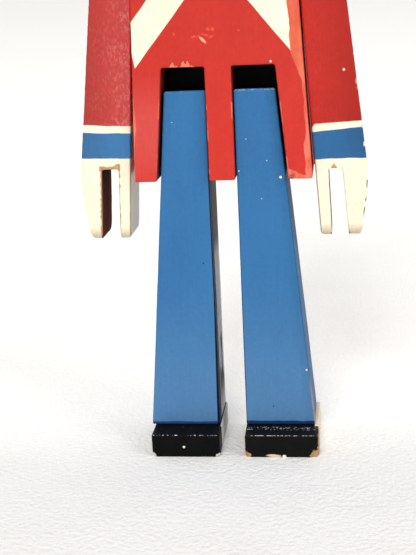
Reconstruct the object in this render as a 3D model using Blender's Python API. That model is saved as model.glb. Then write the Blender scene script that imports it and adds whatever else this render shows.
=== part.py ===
"""Wooden soldier figure: a sawn and painted toy with arms that turn at the shoulders
and legs that swing in two slots of the coat.

Metres, +Z up, standing on its soles. The figure faces -Y, so its own left side is at +X.
"""
import math

import bpy
import bmesh
from mathutils import Vector

for old in list(bpy.data.objects):
    bpy.data.objects.remove(old, do_unlink=True)

MM = 0.001

# Gaps between pieces
RUN_GAP = 0.30 * MM
GLUE_GAP = 0.15 * MM
SEAT_GAP = 0.20 * MM

# Shoes
SHOE_H = 9.5 * MM
SHOE_TOE = 10.0 * MM
SHOE_HEEL = 1.0 * MM
LEFT_SHOE_INNER_LIP = 0.1 * MM
LEFT_SHOE_OUTER_LIP = 1.5 * MM
RIGHT_SHOE_INNER_LIP = 0.6 * MM
RIGHT_SHOE_OUTER_LIP = -1.1 * MM
SHOE_DOWEL_R = 3.2 * MM
SHOE_DOWEL_IN_SHOE = 6.5 * MM
SHOE_DOWEL_IN_LEG = 14.0 * MM

# Legs
LEG_DEPTH = 24.0 * MM
LEG_LENGTH = 133.4 * MM
LEG_TOP_W = 15.4 * MM
LEG_ANKLE_W = 27.6 * MM
HIP_BELOW_LEG_TOP = 10.0 * MM
HIP_DOWEL_R = 3.2 * MM
LEG_RECESS = 2.5 * MM

# Coat body and the two leg slots
BACK_BOARD_T = 4.6 * MM
BACK_BOARD_LIP = 0.6 * MM
TORSO_H = 131.4 * MM
SKIRT_OVERLAP = 33.5 * MM
LEFT_SKIRT_HALF_W = 33.8 * MM
RIGHT_SKIRT_HALF_W = 33.4 * MM
LEFT_WAIST_HALF_W = 30.0 * MM
RIGHT_WAIST_HALF_W = 30.9 * MM
CHEST_HALF_W = 27.6 * MM
CHEST_STRAIGHT_H = 25.0 * MM
WAIST_BELOW_CHEST = 41.0 * MM
SHOULDER_ROUND = 5.0 * MM
CENTRE_STRIP_W = 9.8 * MM
SLOT_INNER_GAP = 0.4 * MM
SLOT_OUTER_GAP = 1.1 * MM
SLOT_TOP_GAP = 8.9 * MM
HIP_DOWEL_INSET = 0.6 * MM

# Arms, from the shoulder pegs down to the slotted hands
ARM_DEPTH = 20.0 * MM
ARM_SHOULDER_W = 13.5 * MM
ARM_CUFF_W = 19.3 * MM
ARM_WAIST_GAP = 0.5 * MM
LEFT_CUFF_GAP = 1.05 * MM
RIGHT_CUFF_GAP = 2.05 * MM
SHOULDER_BELOW_TOP = 11.0 * MM
CUFF_BELOW_SHOULDER = 113.0 * MM
HAND_L = 30.6 * MM
FINGER_TOP_W = 4.9 * MM
FINGER_TIP_W = 4.1 * MM
LEFT_SLOT_W = 5.2 * MM
LEFT_MOUTH_W = 6.4 * MM
LEFT_SLOT_L = 26.0 * MM
RIGHT_SLOT_W = 6.5 * MM
RIGHT_MOUTH_W = 7.1 * MM
RIGHT_SLOT_L = 27.6 * MM
HAND_TIP_ROUND = 3.6 * MM
WASHER_T = 0.5 * MM
WASHER_R = 6.0 * MM
PEG_R = 3.2 * MM
PEG_IN_TORSO = 17.0 * MM
PEG_HEAD_R = 6.2 * MM
PEG_HEAD_T = 3.2 * MM

# Head and hat
NECK_R = 10.5 * MM
NECK_H = 4.0 * MM
HEAD_R = 18.5 * MM
HEAD_H = 35.0 * MM
NECK_DOWEL_R = 4.0 * MM
NECK_DOWEL_IN = 14.0 * MM
NOSE_R = 3.0 * MM
NOSE_PEG_R = 1.6 * MM
NOSE_PEG_L = 7.0 * MM
NOSE_DROP = 18.0 * MM
PEAK_T = 2.4 * MM
PEAK_REACH = 9.0 * MM
HAT_BASE_R = 19.2 * MM
HAT_TOP_R = 21.0 * MM
HAT_H = 43.0 * MM
HAT_DOWEL_R = 4.0 * MM
HAT_DOWEL_IN = 12.0 * MM

# Eased edges
EDGE = 0.4 * MM
SMALL_EDGE = 0.4 * MM

ROUND_SEGMENTS = 32
TURNED_SEGMENTS = 48

# Heights that follow from the sizes above
ANKLE_Z = SHOE_H + SEAT_GAP
LEG_TOP_Z = ANKLE_Z + LEG_LENGTH
HIP_Z = LEG_TOP_Z - HIP_BELOW_LEG_TOP
SKIRT_Z = LEG_TOP_Z - SKIRT_OVERLAP
SLOT_TOP_Z = LEG_TOP_Z + SLOT_TOP_GAP
TORSO_TOP_Z = SKIRT_Z + TORSO_H
CHEST_Z = TORSO_TOP_Z - CHEST_STRAIGHT_H
WAIST_Z = CHEST_Z - WAIST_BELOW_CHEST
SHOULDER_Z = TORSO_TOP_Z - SHOULDER_BELOW_TOP
CUFF_Z = SHOULDER_Z - CUFF_BELOW_SHOULDER
HAND_TIP_Z = CUFF_Z - HAND_L
HEAD_Z = TORSO_TOP_Z + SEAT_GAP
HEAD_TOP_Z = HEAD_Z + NECK_H + HEAD_H
PEAK_Z = HEAD_TOP_Z + SEAT_GAP
HAT_Z = PEAK_Z + PEAK_T + SEAT_GAP

# Depths that follow
TORSO_DEPTH = LEG_DEPTH + 2.0 * LEG_RECESS
BACK_Y = 0.5 * TORSO_DEPTH + SEAT_GAP

# The hat peak reaches further forward than anything reaches back, so all is moved back to centre the box
DEPTH_SHIFT = 0.5 * (PEAK_REACH + HAT_BASE_R - HAT_TOP_R)

# Sideways positions that follow
LEG_INNER_X = 0.5 * CENTRE_STRIP_W + SLOT_INNER_GAP
ARM_GAP = WASHER_T + 2.0 * RUN_GAP
ARM_TOP_X = CHEST_HALF_W + ARM_GAP
PEG_HEAD_X = ARM_TOP_X + ARM_SHOULDER_W + RUN_GAP
LEG_FLARE = (LEG_ANKLE_W - LEG_TOP_W) / LEG_LENGTH

# The coat's two sides are sawn by hand and differ a little
WAIST_HALF_W = {"left": LEFT_WAIST_HALF_W, "right": RIGHT_WAIST_HALF_W}
SKIRT_HALF_W = {"left": LEFT_SKIRT_HALF_W, "right": RIGHT_SKIRT_HALF_W}
WIDEST_HALF_W = max(LEFT_SKIRT_HALF_W, RIGHT_SKIRT_HALF_W)


def leg_outer_x(z):
    """Outer edge of a leg at a height."""
    return LEG_INNER_X + LEG_TOP_W + LEG_FLARE * (LEG_TOP_Z - z)


def below_chest(z, chest_x, waist_x, low_x, low_z):
    """Edge that is straight over the chest and bends at the waist on its way to a lower point."""
    if z >= CHEST_Z:
        return chest_x
    if z >= WAIST_Z:
        return chest_x + (waist_x - chest_x) * (CHEST_Z - z) / WAIST_BELOW_CHEST
    return waist_x + (low_x - waist_x) * (WAIST_Z - z) / (WAIST_Z - low_z)


def coat_side_x(z, word):
    """Side of the coat at a height."""
    return below_chest(z, CHEST_HALF_W, WAIST_HALF_W[word], SKIRT_HALF_W[word], SKIRT_Z)


def arm_inner_x(z, word, cuff_gap):
    """Inner edge of an arm: a washer's gap from the chest, then nearer the coat, then away to the cuff."""
    waist_x = WAIST_HALF_W[word] + ARM_WAIST_GAP
    cuff_x = coat_side_x(CUFF_Z, word) + cuff_gap
    return below_chest(z, ARM_TOP_X, waist_x, cuff_x, CUFF_Z)


# Materials
def paint(name, rgb, rough, metal=0.0):
    mat = bpy.data.materials.new(name)
    mat.use_nodes = True
    shader = mat.node_tree.nodes["Principled BSDF"]
    shader.inputs["Base Color"].default_value = (rgb[0], rgb[1], rgb[2], 1.0)
    shader.inputs["Roughness"].default_value = rough
    shader.inputs["Metallic"].default_value = metal
    mat.diffuse_color = (rgb[0], rgb[1], rgb[2], 1.0)
    return mat


# Mesh helpers
def finish(name, bm, mat, origin=(0.0, 0.0, 0.0)):
    """One object from a bmesh in world coordinates, with its origin moved to a point."""
    origin = Vector(origin)
    bmesh.ops.translate(bm, verts=bm.verts, vec=-origin)
    bmesh.ops.recalc_face_normals(bm, faces=bm.faces)
    mesh = bpy.data.meshes.new(name)
    bm.to_mesh(mesh)
    bm.free()
    obj = bpy.data.objects.new(name, mesh)
    obj.location = origin + Vector((0.0, DEPTH_SHIFT, 0.0))
    bpy.context.scene.collection.objects.link(obj)
    if mat is not None:
        mesh.materials.append(mat)
    return obj


def prism(outline, low, high, axis):
    """Closed outline of two coordinates, drawn out along X, Y or Z."""
    bm = bmesh.new()
    ends = []
    for level in (low, high):
        ring = []
        for a, b in outline:
            if axis == "X":
                co = (level, a, b)
            elif axis == "Y":
                co = (a, level, b)
            else:
                co = (a, b, level)
            ring.append(bm.verts.new(co))
        ends.append(ring)
    count = len(outline)
    bm.faces.new(ends[0])
    bm.faces.new(list(reversed(ends[1])))
    for i in range(count):
        j = (i + 1) % count
        bm.faces.new((ends[0][j], ends[0][i], ends[1][i], ends[1][j]))
    return bm


def round_bar(radius, low, high, axis, centre, segments=ROUND_SEGMENTS):
    """Round bar along an axis through a centre given in the other two coordinates."""
    outline = []
    for i in range(segments):
        turn = 2.0 * math.pi * (i + 0.5) / segments
        outline.append((centre[0] + radius * math.cos(turn), centre[1] + radius * math.sin(turn)))
    return prism(outline, low, high, axis)


def turned(profile, segments=TURNED_SEGMENTS):
    """Turned solid about Z from radius and height pairs that start and end on the axis."""
    bm = bmesh.new()
    rings = []
    for radius, z in profile:
        if radius < 1e-9:
            rings.append([bm.verts.new((0.0, 0.0, z))])
            continue
        ring = []
        for i in range(segments):
            turn = 2.0 * math.pi * (i + 0.5) / segments
            ring.append(bm.verts.new((radius * math.cos(turn), radius * math.sin(turn), z)))
        rings.append(ring)
    for low, high in zip(rings, rings[1:]):
        for i in range(segments):
            j = (i + 1) % segments
            if len(low) == 1:
                bm.faces.new((low[0], high[j], high[i]))
            elif len(high) == 1:
                bm.faces.new((low[i], low[j], high[0]))
            else:
                bm.faces.new((low[i], low[j], high[j], high[i]))
    return bm


def arc(cx, cz, radius, start_deg, end_deg, steps):
    """Points of a circular arc."""
    points = []
    for i in range(steps + 1):
        turn = math.radians(start_deg + (end_deg - start_deg) * i / steps)
        points.append((cx + radius * math.cos(turn), cz + radius * math.sin(turn)))
    return points


def ease(obj, width, segments=2, angle=35.0):
    """Sandpapered edges."""
    mod = obj.modifiers.new("eased_edges", "BEVEL")
    mod.width = width
    mod.segments = segments
    mod.limit_method = "ANGLE"
    mod.angle_limit = math.radians(angle)
    mod.use_clamp_overlap = True
    return mod


def boolean(obj, cutter, operation="DIFFERENCE"):
    """Exact boolean with a cutter that stays out of the render."""
    cutter.hide_render = True
    cutter.display_type = "WIRE"
    mod = obj.modifiers.new(cutter.name, "BOOLEAN")
    mod.operation = operation
    mod.solver = "EXACT"
    mod.object = cutter
    return mod


def flip(outline, side):
    """Mirror an outline of x and z for the other side of the figure."""
    return [(side * x, z) for x, z in outline]


RED = paint("coat_red", (0.69, 0.048, 0.035), 0.42)
SLEEVE = paint("sleeve_red", (0.55, 0.034, 0.032), 0.38)
BLUE = paint("trouser_blue", (0.055, 0.20, 0.46), 0.45)
BLACK = paint("shoe_black", (0.012, 0.012, 0.013), 0.25)
HAT_BLACK = paint("hat_black", (0.014, 0.014, 0.016), 0.35)
SKIN = paint("head_cream", (0.86, 0.62, 0.44), 0.45)
NOSE_PAINT = paint("nose_pink", (0.80, 0.40, 0.30), 0.45)
BIRCH = paint("dowel_birch", (0.60, 0.42, 0.24), 0.65)
PEG_RED = paint("peg_red", (0.50, 0.030, 0.028), 0.40)
STEEL = paint("washer_steel", (0.55, 0.55, 0.56), 0.35, 1.0)

# Coat body: one thick board, sawn with two slots that open at the front and at the skirt
slot_in = 0.5 * CENTRE_STRIP_W


def slot_out(z):
    return leg_outer_x(z) + SLOT_OUTER_GAP


def coat_half(word):
    """One side of the coat, from the skirt's corner over the waist and chest to the shoulder's curve."""
    points = [(SKIRT_HALF_W[word], SKIRT_Z), (WAIST_HALF_W[word], WAIST_Z), (CHEST_HALF_W, CHEST_Z)]
    round_x = CHEST_HALF_W - SHOULDER_ROUND
    round_z = TORSO_TOP_Z - SHOULDER_ROUND
    return points + arc(round_x, round_z, SHOULDER_ROUND, 0.0, 90.0, 5)


slot = [
    (slot_in, SKIRT_Z),
    (slot_in, SLOT_TOP_Z),
    (slot_out(SLOT_TOP_Z), SLOT_TOP_Z),
    (slot_out(SKIRT_Z), SKIRT_Z),
]
outline = slot + coat_half("left") + flip(reversed(slot + coat_half("right")), -1.0)
torso = finish("torso", prism(outline, -0.5 * TORSO_DEPTH, 0.5 * TORSO_DEPTH, "Y"), RED)
ease(torso, EDGE)

# Back board: plain and a little wider, glued on behind the slotted one, so the slots are closed at the back
left_edge = [(x + BACK_BOARD_LIP, z) for x, z in coat_half("left")]
right_edge = [(x + BACK_BOARD_LIP, z) for x, z in coat_half("right")]
outline = left_edge + flip(reversed(right_edge), -1.0)
coat_back = finish("coat_back", prism(outline, BACK_Y, BACK_Y + BACK_BOARD_T, "Y"), RED)
ease(coat_back, EDGE)

hip_reach = WIDEST_HALF_W + 5.0 * MM
hip_bore = finish(
    "hip_bore_cut",
    round_bar(HIP_DOWEL_R + GLUE_GAP, -hip_reach, hip_reach, "X", (0.0, HIP_Z)),
    None,
)
boolean(torso, hip_bore)
neck_bore_low = TORSO_TOP_Z - NECK_DOWEL_IN - SEAT_GAP
neck_bore_high = TORSO_TOP_Z + 5.0 * MM
neck_bore = finish(
    "neck_bore_cut",
    round_bar(NECK_DOWEL_R + GLUE_GAP, neck_bore_low, neck_bore_high, "Z", (0.0, 0.0)),
    None,
)
boolean(torso, neck_bore)

# Dowel across both slots that the legs hang on
hip_left = coat_side_x(HIP_Z, "left") - HIP_DOWEL_INSET
hip_right = coat_side_x(HIP_Z, "right") - HIP_DOWEL_INSET
hip_dowel = finish("hip_dowel", round_bar(HIP_DOWEL_R, -hip_right, hip_left, "X", (0.0, HIP_Z)), BIRCH)

for side, word in ((1.0, "left"), (-1.0, "right")):
    # Leg: straight inner edge, flared outer edge, top square in front and round behind
    outline = [
        (LEG_INNER_X, ANKLE_Z),
        (leg_outer_x(ANKLE_Z), ANKLE_Z),
        (leg_outer_x(LEG_TOP_Z), LEG_TOP_Z),
        (LEG_INNER_X, LEG_TOP_Z),
    ]
    leg = finish(
        word + "_leg",
        prism(flip(outline, side), -0.5 * LEG_DEPTH, 0.5 * LEG_DEPTH, "Y"),
        BLUE,
        (0.0, 0.0, HIP_Z),
    )
    ease(leg, EDGE)
    half = 0.5 * LEG_DEPTH
    profile = [(half, ANKLE_Z - 5.0 * MM), (half, HIP_Z)]
    for step in range(1, 10):
        turn = 0.5 * math.pi * step / 10.0
        profile.append((half * math.cos(turn), HIP_Z + HIP_BELOW_LEG_TOP * math.sin(turn)))
    profile += [
        (0.0, LEG_TOP_Z),
        (-half + EDGE, LEG_TOP_Z),
        (-half, LEG_TOP_Z - EDGE),
        (-half, ANKLE_Z - 5.0 * MM),
    ]
    far = 2.0 * WIDEST_HALF_W
    shape = finish(word + "_leg_side_cut", prism(profile, -far, far, "X"), None)
    boolean(leg, shape, "INTERSECT")
    cut = finish(
        word + "_leg_bore_cut",
        round_bar(HIP_DOWEL_R + RUN_GAP, -hip_reach, hip_reach, "X", (0.0, HIP_Z)),
        None,
    )
    boolean(leg, cut)

    # Shoe: a block with its toe in front of the leg, held by one upright dowel
    if side > 0:
        inner_lip, outer_lip = LEFT_SHOE_INNER_LIP, LEFT_SHOE_OUTER_LIP
    else:
        inner_lip, outer_lip = RIGHT_SHOE_INNER_LIP, RIGHT_SHOE_OUTER_LIP
    shoe_in = LEG_INNER_X - inner_lip
    shoe_out = leg_outer_x(ANKLE_Z) + outer_lip
    outline = [(shoe_in, 0.0), (shoe_out, 0.0), (shoe_out, SHOE_H), (shoe_in, SHOE_H)]
    shoe = finish(
        word + "_shoe",
        prism(
            flip(outline, side),
            -0.5 * LEG_DEPTH - SHOE_TOE,
            0.5 * LEG_DEPTH + SHOE_HEEL,
            "Y",
        ),
        BLACK,
        (0.0, 0.0, HIP_Z),
    )
    ease(shoe, EDGE)
    dowel_x = side * 0.5 * (LEG_INNER_X + leg_outer_x(ANKLE_Z))
    dowel_low = SHOE_H - SHOE_DOWEL_IN_SHOE
    dowel_high = ANKLE_Z + SHOE_DOWEL_IN_LEG
    shoe_dowel = finish(
        word + "_shoe_dowel",
        round_bar(SHOE_DOWEL_R, dowel_low, dowel_high, "Z", (dowel_x, 0.0)),
        BIRCH,
        (0.0, 0.0, HIP_Z),
    )
    cut = finish(
        word + "_shoe_bore_cut",
        round_bar(SHOE_DOWEL_R + GLUE_GAP, dowel_low - SEAT_GAP, dowel_high + SEAT_GAP, "Z", (dowel_x, 0.0)),
        None,
    )
    boolean(shoe, cut)
    boolean(leg, cut)

    # Arm: flared sleeve and cuff, hand with one slot open at the fingertips
    shoulder_top = SHOULDER_Z + 0.5 * ARM_DEPTH
    if side > 0:
        gap, slot_w, mouth_w, slot_l = LEFT_CUFF_GAP, LEFT_SLOT_W, LEFT_MOUTH_W, LEFT_SLOT_L
    else:
        gap, slot_w, mouth_w, slot_l = RIGHT_CUFF_GAP, RIGHT_SLOT_W, RIGHT_MOUTH_W, RIGHT_SLOT_L
    contour = ((0.0, 1.0), (0.24, 1.01), (0.49, 0.955), (0.70, 0.89), (0.90, 0.825))
    outer = []
    for part, share in contour:
        z = CUFF_Z - part * HAND_L
        outer.append((arm_inner_x(z, word, gap) + share * ARM_CUFF_W, z))
    slot_low = HAND_TIP_Z
    slot_high = HAND_TIP_Z + slot_l
    tip_in = arm_inner_x(slot_low, word, gap)
    slot_high_in = arm_inner_x(slot_high, word, gap) + FINGER_TOP_W
    outline = [
        (ARM_TOP_X, shoulder_top + 2.0 * MM),
        (ARM_TOP_X, CHEST_Z),
        (arm_inner_x(WAIST_Z, word, gap), WAIST_Z),
        (arm_inner_x(slot_low + 1.2 * MM, word, gap), slot_low + 1.2 * MM),
        (tip_in + 0.9 * MM, slot_low),
        (tip_in + FINGER_TIP_W, slot_low),
        (slot_high_in, slot_high),
        (slot_high_in + slot_w, slot_high),
        (tip_in + FINGER_TIP_W + mouth_w, slot_low),
        (tip_in + 0.76 * ARM_CUFF_W, slot_low),
    ]
    outline += list(reversed(outer))
    outline += [
        (ARM_TOP_X + ARM_SHOULDER_W, CHEST_Z),
        (ARM_TOP_X + ARM_SHOULDER_W, shoulder_top + 2.0 * MM),
    ]
    half = 0.5 * ARM_DEPTH
    arm = finish(
        word + "_arm",
        prism(flip(outline, side), -half, half, "Y"),
        SLEEVE,
        (side * ARM_TOP_X, 0.0, SHOULDER_Z),
    )
    ease(arm, SMALL_EDGE)
    profile = arc(0.0, SHOULDER_Z, half, 0.0, 180.0, 18)
    profile += arc(-half + HAND_TIP_ROUND, HAND_TIP_Z + HAND_TIP_ROUND, HAND_TIP_ROUND, 180.0, 270.0, 6)
    profile += arc(half - HAND_TIP_ROUND, HAND_TIP_Z + HAND_TIP_ROUND, HAND_TIP_ROUND, 270.0, 360.0, 6)
    far = ARM_TOP_X + 2.0 * ARM_CUFF_W + WIDEST_HALF_W
    shape = finish(word + "_arm_side_cut", prism(profile, -far, far, "X"), None)
    boolean(arm, shape, "INTERSECT")
    cut = finish(
        word + "_arm_bore_cut",
        round_bar(PEG_R + RUN_GAP, -far, far, "X", (0.0, SHOULDER_Z)),
        None,
    )
    boolean(arm, cut)

    # Shoulder peg: a headed axle glued into the coat
    peg_low = CHEST_HALF_W - PEG_IN_TORSO
    rim = 0.9 * MM
    profile = [
        (0.0, peg_low),
        (PEG_R - 0.4 * MM, peg_low),
        (PEG_R, peg_low + 0.4 * MM),
        (PEG_R, PEG_HEAD_X),
        (PEG_HEAD_R, PEG_HEAD_X),
        (PEG_HEAD_R, PEG_HEAD_X + rim),
    ]
    for step in range(1, 6):
        turn = 0.5 * math.pi * step / 6.0
        dome = (PEG_HEAD_T - rim) * math.sin(turn)
        profile.append((PEG_HEAD_R * math.cos(turn), PEG_HEAD_X + rim + dome))
    profile.append((0.0, PEG_HEAD_X + PEG_HEAD_T))
    bm = turned(profile, ROUND_SEGMENTS)
    for vert in bm.verts:
        vert.co = Vector((side * vert.co.z, vert.co.y, SHOULDER_Z + vert.co.x))
    peg = finish(word + "_shoulder_peg", bm, PEG_RED, (side * ARM_TOP_X, 0.0, SHOULDER_Z))
    bore_ends = sorted((side * (peg_low - SEAT_GAP), side * (CHEST_HALF_W + 5.0 * MM)))
    cut = finish(
        word + "_peg_bore_cut",
        round_bar(PEG_R + GLUE_GAP, bore_ends[0], bore_ends[1], "X", (0.0, SHOULDER_Z)),
        None,
    )
    boolean(torso, cut)

    # Washer that keeps the arm off the coat
    faces = sorted((side * (CHEST_HALF_W + RUN_GAP), side * (CHEST_HALF_W + RUN_GAP + WASHER_T)))
    washer = finish(
        word + "_washer",
        round_bar(WASHER_R, faces[0], faces[1], "X", (0.0, SHOULDER_Z)),
        STEEL,
        (side * ARM_TOP_X, 0.0, SHOULDER_Z),
    )
    cut = finish(
        word + "_washer_bore_cut",
        round_bar(PEG_R + RUN_GAP, -far, far, "X", (0.0, SHOULDER_Z)),
        None,
    )
    boolean(washer, cut)

# Head: turned, with a short neck, standing on its dowel
chin = 9.0 * MM
base = HEAD_Z + NECK_H
profile = [(0.0, HEAD_Z), (NECK_R, HEAD_Z), (NECK_R, base)]
profile.append((max(HEAD_R - chin, NECK_R + 0.4 * MM), base + 0.2 * MM))
start_r = profile[-1][0]
for step in range(1, 7):
    turn = 0.5 * math.pi * step / 6.0
    radius = start_r + (HEAD_R - start_r) * math.sin(turn)
    profile.append((radius, base + 0.2 * MM + chin * (1.0 - math.cos(turn))))
crown = 2.0 * MM
profile.append((HEAD_R, HEAD_TOP_Z - crown))
profile.append((HEAD_R - 0.6 * MM, HEAD_TOP_Z - 0.6 * MM))
profile.append((HEAD_R - crown, HEAD_TOP_Z))
profile.append((0.0, HEAD_TOP_Z))
head = finish("head", turned(profile), SKIN)
neck_low = TORSO_TOP_Z - NECK_DOWEL_IN
neck_high = HEAD_Z + NECK_DOWEL_IN
neck_dowel = finish("neck_dowel", round_bar(NECK_DOWEL_R, neck_low, neck_high, "Z", (0.0, 0.0)), BIRCH)
cut = finish(
    "head_neck_bore_cut",
    round_bar(NECK_DOWEL_R + GLUE_GAP, HEAD_Z - 5.0 * MM, neck_high + SEAT_GAP, "Z", (0.0, 0.0)),
    None,
)
boolean(head, cut)

# Nose: a small button with a shank in the face
nose_z = HEAD_TOP_Z - NOSE_DROP
nose_low = HEAD_R + 0.3 * MM
profile = [(0.0, nose_low - NOSE_PEG_L), (NOSE_PEG_R, nose_low - NOSE_PEG_L), (NOSE_PEG_R, nose_low)]
for step in range(0, 6):
    turn = 0.5 * math.pi * step / 6.0
    profile.append((NOSE_R * math.cos(turn), nose_low + NOSE_R * math.sin(turn)))
profile.append((0.0, nose_low + NOSE_R))
bm = turned(profile, 24)
for vert in bm.verts:
    vert.co = Vector((vert.co.x, -vert.co.z, nose_z + vert.co.y))
nose = finish("nose", bm, NOSE_PAINT)
nose_bore_end = SEAT_GAP + NOSE_PEG_L - nose_low
cut = finish(
    "nose_bore_cut",
    round_bar(NOSE_PEG_R + GLUE_GAP, -HEAD_R - 5.0 * MM, nose_bore_end, "Y", (0.0, nose_z), 24),
    None,
)
boolean(head, cut)

# Hat peak: a thin plate between the head and the hat that reaches out over the face
front = arc(0.0, -PEAK_REACH, HAT_BASE_R, 180.0, 360.0, 24)
back = arc(0.0, 0.0, HAT_BASE_R, 0.0, 180.0, 24)
hat_peak = finish("hat_peak", prism(front + back, PEAK_Z, PEAK_Z + PEAK_T, "Z"), HAT_BLACK)
ease(hat_peak, SMALL_EDGE)

# Hat: a tall turned drum, a little wider at the top
hat_top = HAT_Z + HAT_H
lip = 1.6 * MM
profile = [
    (0.0, HAT_Z),
    (HAT_BASE_R - 0.5 * MM, HAT_Z),
    (HAT_BASE_R, HAT_Z + 0.5 * MM),
    (HAT_TOP_R, hat_top - lip),
    (HAT_TOP_R - 0.45 * MM, hat_top - 0.45 * MM),
    (HAT_TOP_R - lip, hat_top),
    (0.0, hat_top),
]
hat = finish("hat", turned(profile), HAT_BLACK)
hat_low = HEAD_TOP_Z - HAT_DOWEL_IN
hat_high = HAT_Z + HAT_DOWEL_IN
hat_dowel = finish("hat_dowel", round_bar(HAT_DOWEL_R, hat_low, hat_high, "Z", (0.0, 0.0)), BIRCH)
cut = finish(
    "hat_dowel_bore_cut",
    round_bar(HAT_DOWEL_R + GLUE_GAP, hat_low - SEAT_GAP, hat_high + SEAT_GAP, "Z", (0.0, 0.0)),
    None,
)
boolean(head, cut)
boolean(hat_peak, cut)
boolean(hat, cut)
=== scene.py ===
"""Looks of the wooden soldier figure: hand-painted boards with worn edges, chips and brush marks."""

import math

import bmesh
import bpy
from mathutils import Matrix, Vector, noise


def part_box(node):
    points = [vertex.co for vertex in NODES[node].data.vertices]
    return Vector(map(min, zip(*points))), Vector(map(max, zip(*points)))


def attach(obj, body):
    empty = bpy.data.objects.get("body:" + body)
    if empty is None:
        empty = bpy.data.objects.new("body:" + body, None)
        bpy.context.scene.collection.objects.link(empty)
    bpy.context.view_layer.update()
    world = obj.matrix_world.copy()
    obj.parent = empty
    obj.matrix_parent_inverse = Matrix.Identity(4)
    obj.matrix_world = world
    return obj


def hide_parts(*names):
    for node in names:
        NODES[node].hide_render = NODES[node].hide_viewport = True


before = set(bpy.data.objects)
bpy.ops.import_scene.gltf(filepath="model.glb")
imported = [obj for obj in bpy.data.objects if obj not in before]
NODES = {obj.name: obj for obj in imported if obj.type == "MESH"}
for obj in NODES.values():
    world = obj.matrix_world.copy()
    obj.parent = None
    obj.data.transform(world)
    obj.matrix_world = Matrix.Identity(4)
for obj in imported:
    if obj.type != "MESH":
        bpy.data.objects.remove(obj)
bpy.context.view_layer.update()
MM = 0.001


def box_mm(node):
    """Lowest and highest corner of a CAD node in millimetres."""
    low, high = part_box(node)
    return low / MM, high / MM


# Places that the paint follows, read from the frame, in millimetres
TORSO_LOW, TORSO_HIGH = box_mm("torso")
LEG_LOW, LEG_HIGH = box_mm("left_leg")
ARM_LOW, ARM_HIGH = box_mm("left_arm")
SHOE_LOW, SHOE_HIGH = box_mm("left_shoe")
RIGHT_SHOE_LOW, RIGHT_SHOE_HIGH = box_mm("right_shoe")
HEAD_LOW, HEAD_HIGH = box_mm("head")
HAT_LOW, HAT_HIGH = box_mm("hat")
WASHER_LOW, _ = box_mm("left_washer")
BACK_LOW, BACK_HIGH = box_mm("coat_back")

# Sizes of the boards that their boxes don't give
CHEST_STRAIGHT_H = 25.0
WAIST_BELOW_CHEST = 41.0
WASHER_GAP = 0.3
LEFT_WAIST_X = 30.0
RIGHT_WAIST_X = 30.9
LEG_TOP_W = 15.4
SLOT_TOP_GAP = 8.9
SLOT_OUT_GAP = 1.1
SLOT_IN_GAP = 0.4

FRONT_Y = TORSO_LOW.y
MID_Y = 0.5 * (TORSO_LOW.y + TORSO_HIGH.y)
SKIRT_Z = TORSO_LOW.z
CHEST_Z = TORSO_HIGH.z - CHEST_STRAIGHT_H
CHEST_X = WASHER_LOW.x - WASHER_GAP
WAIST_Z = CHEST_Z - WAIST_BELOW_CHEST
SLOT_TOP_Z = LEG_HIGH.z + SLOT_TOP_GAP
LEG_INNER_X = LEG_LOW.x
LEG_TOP_OUT = LEG_INNER_X + LEG_TOP_W
LEG_FLARE = (LEG_HIGH.x - LEG_TOP_OUT) / (LEG_HIGH.z - LEG_LOW.z)
STRIP_HALF_W = LEG_INNER_X - SLOT_IN_GAP
HAND_TIP_Z = ARM_LOW.z

# Hands: each edge has a distance from the middle at the fingertips and a lean
LEFT_HAND = {"edge": (36.5, 0.068), "slot_in": (40.6, 0.037), "slot_out": (47.0, 0.084), "slot_l": 26.0}
RIGHT_HAND = {"edge": (37.2, 0.065), "slot_in": (41.3, 0.036), "slot_out": (48.4, 0.058), "slot_l": 27.6}

# Paint lines in millimetres; a cuff's three lines have a height and a tilt each
RIGHT_CUFF = ((130.9, 0.049), (128.1, 0.037), (118.4, 0.025))
LEFT_CUFF = ((129.7, 0.044), (127.1, 0.081), (116.1, 0.0))
CUFF_MID_X = 44.0
BELT_CROSS_Z = 198.0
BELT_SLOPE = 1.22
BELT_HALF_H = 8.6

# Softness of a mask's border in millimetres: a cut, a brushed line, a worn patch
CUT = 0.1
BRUSHED = 0.2
WORN = 0.3

# How far the rounded normal turns from the plain one, from untouched to bare, where edges rub easily or less
RUBS_EASILY = (0.02, 0.14)
RUBS_SOMEWHAT = (0.03, 0.16)
RUBS_LITTLE = (0.04, 0.16)
EDGE_SAMPLES = 6

# Noise is shifted to zero and stretched to about one either way
NOISE_MIDDLE, NOISE_GAIN = 0.5, 3.0

# Coat of paint: shifts of its tone and roughness, the roughness of its gloss, and its relief
STROKE_TONE, CLOUD_TONE, BLOTCH_TONE = 0.045, 0.045, 0.06
CLOUD_ROUGH, FINE_ROUGH, GLOSS_ROUGH = 0.05, 0.04, 0.22
FINE_RELIEF, BARE_RELIEF, RELIEF = 0.3, 2.2, 0.55

# Paint and wood colours as they look in plain light, in sRGB
RED = (204, 55, 44)
RED_DARK = (197, 48, 38)
SLEEVE = (189, 44, 34)
SLEEVE_DARK = (176, 38, 30)
RED_IN_SHADE = (136, 42, 38)
SALMON = (242, 124, 100)
SALMON_UP = (224, 110, 80)
SALMON_DEEP = (220, 92, 66)
SALMON_PALE = (242, 132, 106)
SALMON_FAINT = (226, 80, 66)
SCUFF_PALE = (250, 168, 140)
HEM_TAN = (196, 98, 68)
CREAM = (251, 248, 220)
CREAM_SHADE = (245, 236, 203)
# Cream in painted shade, also used for scratches, and the hand's side in painted shade
CREAM_SHADE_AND_SCRATCH = (222, 200, 168)
CREAM_SHADED_SIDE = (190, 166, 136)
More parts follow.
